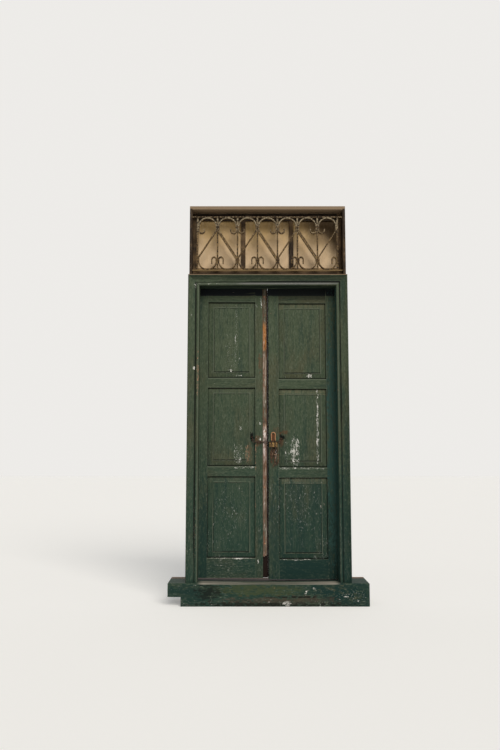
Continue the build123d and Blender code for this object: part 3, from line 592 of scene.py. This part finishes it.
# painted shadow from the head on the top of the rail
greenPaint("right_top_rail", False, olive=0.20, bands=[shadowUnderHead, ("z", 2.30, 0.05, 0.4, "grimeAndShade")], seed=17.0)
greenPaint("right_upper_rail", False, olive=0.04, bands=[("z", 1.6335, 0.003, 0.6, "chalk")], seed=18.0)
greenPaint(
    "right_lower_rail",
    False,
    white=[(0.124, 0.968, 0.05, 0.009, 0.24), (0.202, 0.976, 0.014, 0.016, 0.30), (0.28, 0.968, 0.14, 0.007, 0.2)],
    bands=[("z", 0.971, 0.003, 0.6, "chalk")],
    seed=19.0,
)
greenPaint(
    "right_bottom_rail",
    False,
    shade=0.42,
    white=[(0.21, 0.304, 0.12, 0.008, 0.2)],
    bands=[("z", 0.3045, 0.003, 0.5, "chalk")],
    patches={"shade": [(0.28, 0.235, 0.36, 0.12, 0.9)]},
    seed=20.0,
)
greenPaint(
    "threshold_beam",
    False,
    shade=0.10,
    wear=0.05,
    white=[
        (0.13, 0.022, 0.034, 0.016, 0.22),
        (0.321, 0.124, 0.011, 0.010, 0.22),
        (0.264, 0.094, 0.009, 0.018, 0.20),
        (0.60, 0.075, 0.10, 0.06, 0.08),
        (-0.62, 0.03, 0.05, 0.03, 0.12),
    ],
    bare=[(0.0, 0.030, 0.42, 0.030, 0.04)],
    patches={
        "moss": [(-0.08, 0.115, 0.40, 0.045, 0.7)],
        "shade": [(0.50, 0.08, 0.26, 0.12, 1.1), (-0.55, 0.09, 0.20, 0.07, 0.8)],
        "timber": [(0.05, 0.034, 0.42, 0.036, 0.6), (0.25, 0.05, 0.20, 0.03, 0.6)],
        "grimeAndShade": [(0.0, 0.012, 0.60, 0.018, 0.9), (0.2, 0.066, 0.2, 0.006, 1.2), (-0.42, 0.10, 0.10, 0.06, 0.7)],
    },
    lip=0.149,
    unpainted=(0.085, 0.16, 0.51),
    indoors=0.16,
    seed=21.0,
)
print("green timber painted")

# Bare strip between the leaves

stripFacts = {
    "foot": 0.30,
    "head": 2.33,
    "grain": 420.0,
    "tones": (  # share of the height, colour
        (0.0, (0.22, 0.18, 0.14)),
        (0.10, (0.10, 0.09, 0.065)),
        (0.20, (0.20, 0.145, 0.11)),
        (0.34, (0.22, 0.15, 0.11)),
        (0.40, (0.60, 0.50, 0.46)),
        (0.465, (0.86, 0.77, 0.71)),
        (0.485, (0.36, 0.22, 0.14)),
        (0.497, (0.05, 0.045, 0.03)),
        (0.53, (0.12, 0.105, 0.07)),
        (0.60, (0.17, 0.14, 0.10)),
        (0.69, (0.26, 0.19, 0.14)),
        (0.755, (0.24, 0.20, 0.15)),
        (0.775, (0.36, 0.15, 0.04)),
        (0.86, (0.38, 0.16, 0.045)),
        (0.885, (0.065, 0.065, 0.040)),
        (1.0, (0.035, 0.045, 0.027)),
    ),
    "paleFibre": (0.60, 0.52, 0.46),
    "darkFibre": (0.11, 0.055, 0.03),
    "rust": (0.15, 0.065, 0.035),
    "scraped": (0.62, 0.56, 0.50),
    "dirt": (0.085, 0.065, 0.045),
    "rightEdge": (0.060, 0.045, 0.030),
    "leftEdge": (0.09, 0.05, 0.03),
}
bareStrip = Finish("bareStrip")
bareStrip.start()
level = (bareStrip.z - stripFacts["foot"]) / (stripFacts["head"] - stripFacts["foot"])
wander = bareStrip.noise(22.0, (1, 1, 0.35), 3.0, 0.6)
fibre = bareStrip.noise(stripFacts["grain"], (1, 1, 0.03), 3.0, 0.6)
stain = bareStrip.noise(75.0, (1, 1, 0.22), 4.0, 0.75, 0.3, 2.0)
patch = bareStrip.noise(30.0, (1, 1, 0.3), 3.0, 0.65, 0.4, 5.0)
side = bareStrip.x + (wander - 0.5) * 0.012
tone = bareStrip.layers(
    bareStrip.ramp(level + (wander - 0.5) * 0.05, *stripFacts["tones"]),
    stripFacts,
    (fibre, 0.52, 0.70, 0.45, "paleFibre"),
    (1 - fibre, 0.52, 0.70, 0.85, "darkFibre"),
    (stain, 0.50, 0.57, 0.80, "rust"),
    (1 - stain, 0.56, 0.64, 0.35, "scraped"),
    (patch, 0.48, 0.60, 0.70, "dirt"),
    # this edge tone and the left edge tone below are painted shade along the strip's sides, where it meets the leaves
    (side, -0.0130, -0.0090, 0.70, "rightEdge"),
)
tone = bareStrip.blend((1 - bareStrip.rise(side, -0.035, -0.031)) * 0.6, tone, stripFacts["leftEdge"])
bareStrip.wear(
    "meeting_strip",
    Base_Color=tone,
    Roughness=0.85,
    Specular_IOR_Level=0.1,
    Normal=bareStrip.relief(fibre * 0.7 + wander * 0.3, 0.0012),
)
print("strip weathered")

# Brown varnish on the light above the door

varnishFacts = {
    "dark": (0.022, 0.014, 0.009),
    "mid": (0.170, 0.105, 0.050),
    "dustAndLight": (0.26, 0.19, 0.125),
    "lit": (0.27, 0.165, 0.075),
    "pores": (0.010, 0.007, 0.005),
    "grain": 240.0,
    "patch": 7.0,
    "lineSoft": 0.004,
}


# lit moves a piece between the dark and the mid brown: painted light and shade, such as the shadow on the sash's top
# rail
def brownVarnish(members, upright, lit, seed=0.0, lines=()):
    finish = Finish("brown_" + members[0])
    finish.start()
    along = (1, 1, 0.04) if upright else (0.04, 1, 1)
    grain = finish.noise(varnishFacts["grain"], along, 3.0, 0.6, 0.2, seed)
    patch = finish.noise(varnishFacts["patch"], (0.5, 1, 1), 3.0, 0.6, 0.5, seed)
    tone = finish.blend(finish.rise(patch + lit, 0.35, 0.75), varnishFacts["dark"], varnishFacts["mid"])
    rows = ((grain, 0.50, 0.75, 0.5, "dustAndLight"), (1 - grain, 0.55, 0.75, 0.6, "pores"))
    tone = finish.layers(tone, varnishFacts, *rows)
    for middle, half, strength, kind in lines:
        line = finish.band(finish.z, middle, half, varnishFacts["lineSoft"])
        line = line * finish.rise(patch + grain * 0.5, 0.45, 0.70)
        tone = finish.blend(line * strength, tone, varnishFacts[kind])
    finish.wear(
        members,
        Base_Color=tone,
        Roughness=0.62 + grain * 0.2,
        Specular_IOR_Level=0.12,
        Normal=finish.relief(grain, 0.0006),
    )


brownVarnish(("left_lining", "right_lining"), True, -0.1)
# the pale band across the top lining is painted light
brownVarnish(("top_lining",), False, 0.75, 1.0, [(2.925, 0.03, 0.8, "dustAndLight")])
brownVarnish(("sash_left_stile", "sash_right_stile", "left_mullion", "right_mullion"), True, 0.0, 2.0)
brownVarnish(("sash_top_rail",), False, -0.4, 3.0)
# a painted highlight along the top of the bottom rail, with two darker lines under it
brownVarnish(
    ("sash_bottom_rail",),
    False,
    0.55,
    4.0,
    [(2.4800, 0.0080, 1.0, "lit"), (2.4550, 0.0060, 0.8, "dark"), (2.4400, 0.0040, 0.9, "dark")],
)
brownVarnish(("glazing_beads",), True, 0.0, 5.0)

# Panes, painted over inside and dusty

paneFacts = {
    "turns": {"left_pane": 0.10, "middle_pane": 0.20, "right_pane": 0.65},  # how much the painted shadow darkens it to the right
    "cream": (0.64, 0.465, 0.285),
    "tan": (0.43, 0.285, 0.115),
    "dim": (0.055, 0.030, 0.008),
    "dust": (0.62, 0.50, 0.34),
    "dirt": (0.14, 0.09, 0.05),
}
for name, turn in paneFacts["turns"].items():
    pane = Finish("painted_" + name)
    pane.start()
    start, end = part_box(name)
    across = (pane.x - start.x) / (end.x - start.x)
    up = (pane.z - start.z) / (end.z - start.z)
    cloud = pane.noise(5.0, (1, 1, 1), 4.0, 0.6, 0.6, turn * 9)
    speck = pane.noise(170.0, (1, 1, 0.5), 3.0, 0.7)
    run = pane.noise(60.0, (1, 1, 0.05), 2.0, 0.6)
    tone = pane.blend(pane.rise(up + (cloud - 0.5) * 0.9, 0.15, 1.0), paneFacts["cream"], paneFacts["tan"])
    # painted shadow over the top and the right of each pane
    shadow = pane.rise(up * 0.85 + across * turn + (cloud - 0.5) * 0.4, 0.70, 1.12)
    tone = pane.layers(
        pane.blend(shadow, tone, paneFacts["dim"]),
        paneFacts,
        (run * 0.5 + speck * 0.5, 0.50, 0.68, 0.35 - shadow * 0.3, "dust"),
        (1 - speck, 0.55, 0.75, 0.35, "dirt"),
    )
    pane.wear(
        name,
        Base_Color=tone,
        Roughness=0.30 + speck * 0.45,
        Specular_IOR_Level=0.12,
        Normal=pane.relief(cloud * 0.6 + run * 0.4, 0.0006),
    )
print("light above the door finished")

# Wrought iron: brown rust under what is left of a pale grey-green coat, paler on upward faces and higher up as a
# painted highlight

ironFacts = {
    "rust": (0.115, 0.066, 0.026),
    "black": (0.020, 0.013, 0.008),
    "coat": (0.34, 0.295, 0.205),
    "glow": (0.24, 0.125, 0.042),
    "golden": (0.27, 0.185, 0.085),
    "levels": (2.55, 2.86),  # paler the higher it is: more of the coat is left, and a painted highlight
}


def wroughtIron(members, coat, seed=0.0, golden=0.0):
    finish = Finish("iron_" + members[0])
    finish.start()
    # faces that look up get more of the pale tone, as a painted highlight
    upward = finish.parts(finish.node("ShaderNodeTexCoord", output="Normal"))[2]
    scale = finish.noise(90.0, (1, 1, 1), 4.0, 0.65, 0.3, seed)
    pit = finish.noise(420.0, (1, 1, 1), 3.0, 0.7, 0.0, seed)
    height = finish.rise(finish.z, *ironFacts["levels"])
    tone = finish.layers(
        finish.blend(finish.rise(scale, 0.38, 0.62), ironFacts["black"], ironFacts["rust"]),
        ironFacts,
        (pit * 0.5 + scale * 0.5, 0.55, 0.70, 0.60, "glow"),
        (pit * 0.4 + scale * 0.6 + golden, 0.52, 0.66, 0.70, "golden"),
        (upward * 0.7 + scale * 0.8 + coat + height * 0.35, 0.80, 1.10, 0.85, "coat"),
    )
    finish.wear(
        members,
        Base_Color=tone,
        Roughness=0.62 + pit * 0.25,
        Metallic=0.15,
        Specular_IOR_Level=0.2,
        Normal=finish.relief(scale * 0.5 + pit * 0.5, 0.0009),
    )


wroughtIron(("grille_top_rail",), 0.10)
wroughtIron(("grille_bottom_rail",), 0.15, 1.0, 0.25)
wroughtIron(("grille_bars",), 0.18, 2.0, 0.05)
wroughtIron(("grille_collars",), 0.10, 5.0)
print("grille rusted")

# How new pieces are begun, picked from and ended


def begin(kind, **facts):  # a primitive of its own, at the origin's frame
    bpy.ops.object.select_all(action="DESELECT")
    getattr(bpy.ops.mesh, f"primitive_{kind}_add")(**facts)
    bpy.ops.object.transform_apply(location=True, rotation=True, scale=True)
    return bpy.context.object


def pick(piece, kind, wanted):  # in edit mode, the faces or edges that pass the test
    bpy.ops.object.mode_set(mode="EDIT")
    bpy.ops.mesh.select_mode(type="FACE" if kind == "faces" else "EDGE")
    bpy.ops.mesh.select_all(action="DESELECT")
    shape = bmesh.from_edit_mesh(piece.data)
    for element in getattr(shape, kind):
        element.select_set(bool(wanted(element)))
    bmesh.update_edit_mesh(piece.data)


def streetward(face):  # looks to the street
    return face.normal.y < -0.9


def standing(edge):  # long and upright
    return abs(edge.verts[0].co.z - edge.verts[1].co.z) > 0.1


def done(piece, name, body):
    bpy.ops.object.mode_set(mode="OBJECT")
    bpy.ops.object.shade_smooth_by_angle(angle=radians(35))
    piece.name = name
    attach(piece, body)


# Scrolls and braces thickened by old coats of paint

coatFacts = {"thick": 0.0013, "merge": 0.00001}
for member in ("scrolls_left_hand", "scrolls_right_hand", "braces"):
    coated = bpy.data.objects.new("coated", nodes["grille_" + member].data.copy())
    bpy.context.scene.collection.objects.link(coated)
    bpy.ops.object.select_all(action="DESELECT")
    coated.select_set(True)
    bpy.context.view_layer.objects.active = coated
    pick(coated, "faces", lambda face: True)
    bpy.ops.mesh.remove_doubles(threshold=coatFacts["merge"])
    bpy.ops.transform.shrink_fatten(value=coatFacts["thick"], use_even_offset=True)
    done(coated, "coated_" + member, "frame")
    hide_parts("grille_" + member)
wroughtIron(("coated_scrolls_left_hand", "coated_scrolls_right_hand"), 0.20, 3.0, 0.06)
wroughtIron(("coated_braces",), 0.05, 4.0, 0.10)

# Iron covers behind the middle panels, over the ends of the chain

coverFacts = {
    "places": {"left": (-0.1195, 1.189), "right": (0.1072, 1.182)},
    "wide": 0.036,
    "high": 0.080,
    "deep": 0.0150,
    "panelBack": 0.1292,
    "wall": 0.0011,
    "corner": 0.0035,
    "flange": 0.0055,
}
for side, (x, z) in coverFacts["places"].items():
    root = coverFacts["panelBack"] + coverFacts["wall"]
    middle = (x, root + coverFacts["deep"] / 2, z)
    cover = begin("cube", size=1, location=middle, scale=(coverFacts["wide"], coverFacts["deep"], coverFacts["high"]))
    pick(cover, "faces", streetward)
    bpy.ops.mesh.delete(type="FACE")
    pick(cover, "edges", lambda edge: not edge.is_boundary)
    bpy.ops.mesh.bevel(offset=coverFacts["corner"], segments=4, affect="EDGES")
    pick(cover, "edges", lambda edge: edge.is_boundary)
    bpy.ops.mesh.extrude_edges_move()
    spread = [1 + 2 * coverFacts["flange"] / coverFacts[part] for part in ("wide", "high")]
    bpy.ops.transform.resize(value=(spread[0], 1, spread[1]), center_override=(x, root, z))
    bpy.ops.object.mode_set(mode="OBJECT")
    wall = cover.modifiers.new("wall", "SOLIDIFY")
    wall.thickness = coverFacts["wall"]
    wall.offset = -1
    bpy.ops.object.modifier_apply(modifier="wall")
    done(cover, side + "_chain_cover", side + "_leaf")

# Leather bead that closes the joint between the leaves

beadFacts = {"low": (-0.0007, 0.1435, 0.180), "high": (0.0005, 0.1468, 2.325), "corner": 0.0004, "pieces": 40}
beadSize = [high - low for low, high in zip(beadFacts["low"], beadFacts["high"])]
beadMiddle = [low + size / 2 for low, size in zip(beadFacts["low"], beadSize)]
bead = begin("cube", size=1, location=beadMiddle, scale=beadSize)
pick(bead, "edges", lambda edge: standing(edge) and edge.verts[0].co.x > 0)
bpy.ops.mesh.bevel(offset=beadFacts["corner"], segments=3, affect="EDGES")
pick(bead, "edges", standing)
bpy.ops.mesh.subdivide_edgering(number_cuts=beadFacts["pieces"])
done(bead, "joint_bead", "left_leaf")

# Nails in the strip

nailFacts = {
    "heights": (0.42, 0.83, 1.24, 1.63, 1.98, 2.27),
    "x": -0.0235,
    "stagger": 0.0015,
    "face": 0.1015,
    "head": 0.0042,
    "rise": 0.0016,
    "crown": 0.55,
    "dome": 0.35,
    "sharp": 0.8,  # radians between faces
    "edge": 0.0004,
    "sides": 16,
}
nails = []
for turn, height in enumerate(nailFacts["heights"]):
    nail = begin(
        "cylinder",
        vertices=nailFacts["sides"],
        radius=nailFacts["head"],
        depth=nailFacts["rise"],
        location=(nailFacts["x"] + nailFacts["stagger"] * (-1) ** turn, nailFacts["face"], height),
        rotation=(radians(90), 0, 0),
    )
    pick(nail, "faces", streetward)
    bpy.ops.mesh.inset(thickness=nailFacts["head"] * (1 - nailFacts["crown"]))
    bpy.ops.transform.translate(value=(0, -nailFacts["rise"] * nailFacts["dome"], 0))
    pick(nail, "edges", lambda edge: edge.calc_face_angle(0) > nailFacts["sharp"])
    bpy.ops.mesh.bevel(offset=nailFacts["edge"], segments=2, affect="EDGES")
    bpy.ops.object.mode_set(mode="OBJECT")
    nails.append(nail)
bpy.ops.object.select_all(action="DESELECT")
for nail in nails:
    nail.select_set(True)
bpy.context.view_layer.objects.active = nails[0]
bpy.ops.object.join()
done(nails[0], "strip_nails", "left_leaf")

# Round shackle in the padlock

shackleFacts = {
    "x": 0.04095,
    "y": 0.092,
    "crown": 1.22125,
    "bend": 0.01425,
    "wire": 0.0035,
    "legs": (1.150, 1.137),
    "tip": 0.001,
    "taper": 0.75,
    "turns": 48,
    "sides": 20,  # of the wire
}
crownPlace = (shackleFacts["x"], shackleFacts["y"], shackleFacts["crown"])
bow = begin(
    "torus",
    location=crownPlace,
    rotation=(radians(90), 0, 0),
    major_radius=shackleFacts["bend"],
    minor_radius=shackleFacts["wire"],
    major_segments=shackleFacts["turns"],
    minor_segments=shackleFacts["sides"],
)
pick(bow, "faces", lambda face: True)
bpy.ops.mesh.bisect(plane_co=crownPlace, plane_no=(0, 0, 1), clear_inner=True)
for side, foot in zip((-1, 1), shackleFacts["legs"]):
    pick(bow, "edges", lambda edge: edge.is_boundary and (edge.verts[0].co.x - shackleFacts["x"]) * side > 0)
    for length in (foot + shackleFacts["tip"] - shackleFacts["crown"], -shackleFacts["tip"]):
        bpy.ops.mesh.extrude_edges_move(TRANSFORM_OT_translate={"value": (0, 0, length)})
    middle = (shackleFacts["x"] + side * shackleFacts["bend"], shackleFacts["y"], foot)
    bpy.ops.transform.resize(value=(shackleFacts["taper"], shackleFacts["taper"], 1), center_override=middle)
    bpy.ops.mesh.edge_face_add()
done(bow, "round_shackle", "shackle")
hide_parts("padlock_shackle")
print("covers, bead, nails and shackle made")

# Metal and leather finishes

metalFacts = {
    "coverIron": {
        "members": ("left_chain_cover", "right_chain_cover"),
        "dark": (0.015, 0.012, 0.010),
        "light": (0.050, 0.035, 0.025),
        "stain": (0.130, 0.055, 0.025),
        "metallic": 0.5,
        "rough": 0.5,
        "scale": 60.0,
        "amount": 0.5,
    },
    "beadLeather": {
        "members": ("joint_bead",),
        "dark": (0.010, 0.007, 0.005),
        "light": (0.030, 0.020, 0.014),
        "stain": (0.020, 0.012, 0.008),
        "metallic": 0.0,
        "rough": 0.8,
        "scale": 90.0,
        "amount": 0.5,
    },
    "chainIron": {
        "members": ("left_chain", "right_chain", "left_chain_tail", "right_chain_tail"),
        "dark": (0.020, 0.014, 0.011),
        "light": (0.070, 0.042, 0.028),
        "stain": (0.170, 0.075, 0.032),
        "metallic": 0.6,
        "rough": 0.45,
        "scale": 220.0,
        "amount": 0.5,
    },
    "lockBrass": {
        "members": ("padlock_body",),
        "dark": (0.160, 0.095, 0.035),
        "light": (0.420, 0.260, 0.085),
        "stain": (0.130, 0.062, 0.020),
        "metallic": 0.7,
        "rough": 0.4,
        "scale": 60.0,
        "amount": 0.6,
    },
    "rustySteel": {
        "members": ("round_shackle", "strip_nails"),
        "dark": (0.300, 0.120, 0.045),
        "light": (0.560, 0.300, 0.150),
        "stain": (0.150, 0.050, 0.018),
        "metallic": 0.15,
        "rough": 0.6,
        "scale": 110.0,
        "amount": 0.5,
    },
    "hingeSteel": {
        "members": ("hinge_frame_plates", "left_hinge_plates", "right_hinge_plates", "hinge_pins"),
        "dark": (0.030, 0.035, 0.030),
        "light": (0.075, 0.070, 0.060),
        "stain": (0.120, 0.055, 0.025),
        "metallic": 0.6,
        "rough": 0.5,
        "scale": 120.0,
        "amount": 0.5,
    },
}
for name, facts in metalFacts.items():
    metal = Finish(name)
    metal.start()
    patch = metal.noise(facts["scale"], (1, 1, 1), 4.0, 0.65, 0.4)
    pit = metal.noise(facts["scale"] * 4, (1, 1, 1), 3.0, 0.7)
    tone = metal.blend(metal.rise(patch, 0.38, 0.62), facts["dark"], facts["light"])
    sooner = facts["amount"] * 0.2
    rust = metal.rise(patch * 0.6 + pit * 0.4, 0.62 - sooner, 0.74 - sooner)
    metal.wear(
        facts["members"],
        Base_Color=metal.blend(rust, tone, facts["stain"]),
        Roughness=facts["rough"] + rust * 0.3,
        Metallic=facts["metallic"] * (1 - rust),
        Normal=metal.relief(patch * 0.4 + pit * 0.6, 0.0004),
    )
print("ironmongery finished")
